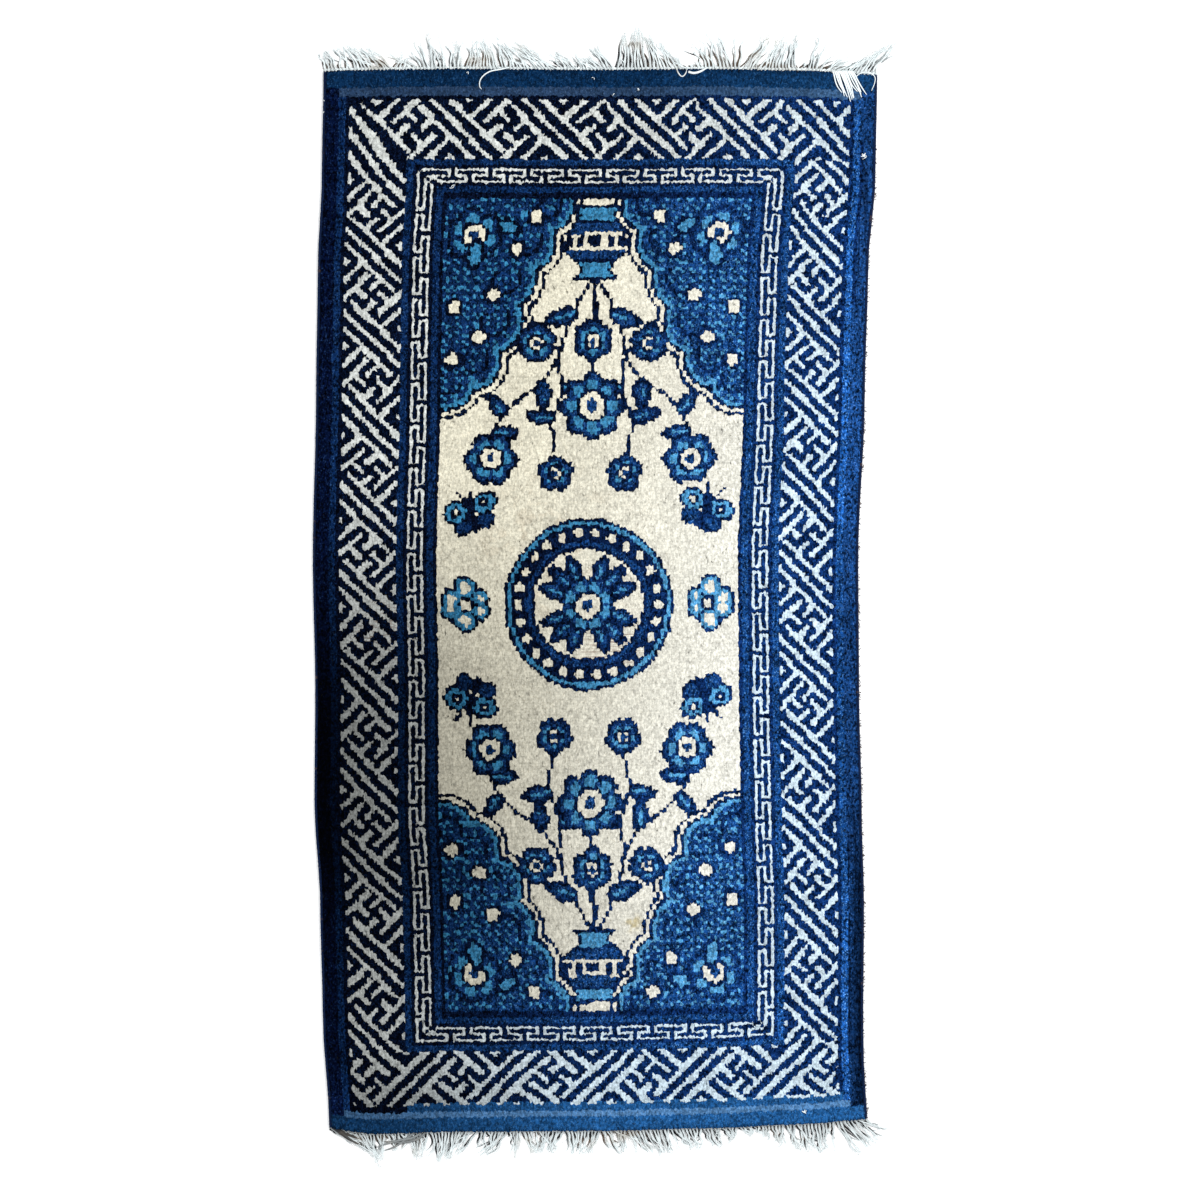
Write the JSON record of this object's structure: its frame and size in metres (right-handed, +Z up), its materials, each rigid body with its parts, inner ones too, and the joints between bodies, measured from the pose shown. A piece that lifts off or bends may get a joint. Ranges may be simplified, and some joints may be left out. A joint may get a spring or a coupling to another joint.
{
  "type": "chinese rug",
  "caption": "Flat hand-knotted wool rug, oblong, with an ivory field, blue and ivory fret borders and a loose cotton fringe at each end.",
  "frame": {"origin": "on the floor under the middle of the whole rug, fringes included", "axes": "+Y along the warps, towards the upper end of the design; +X across to the right; +Z up out of the pile"},
  "size_m": [0.711, 1.3762, 0.009],
  "materials": {
    "wool_pile": "short dense wool pile, ivory and blues, matt",
    "cotton_fringe": "loose plied cotton, matt"
  },
  "bodies": {
    "root": {"rug_body": "wool_pile", "fringe_upper": "cotton_fringe", "fringe_lower": "cotton_fringe"}
  },
  "joints": []
}
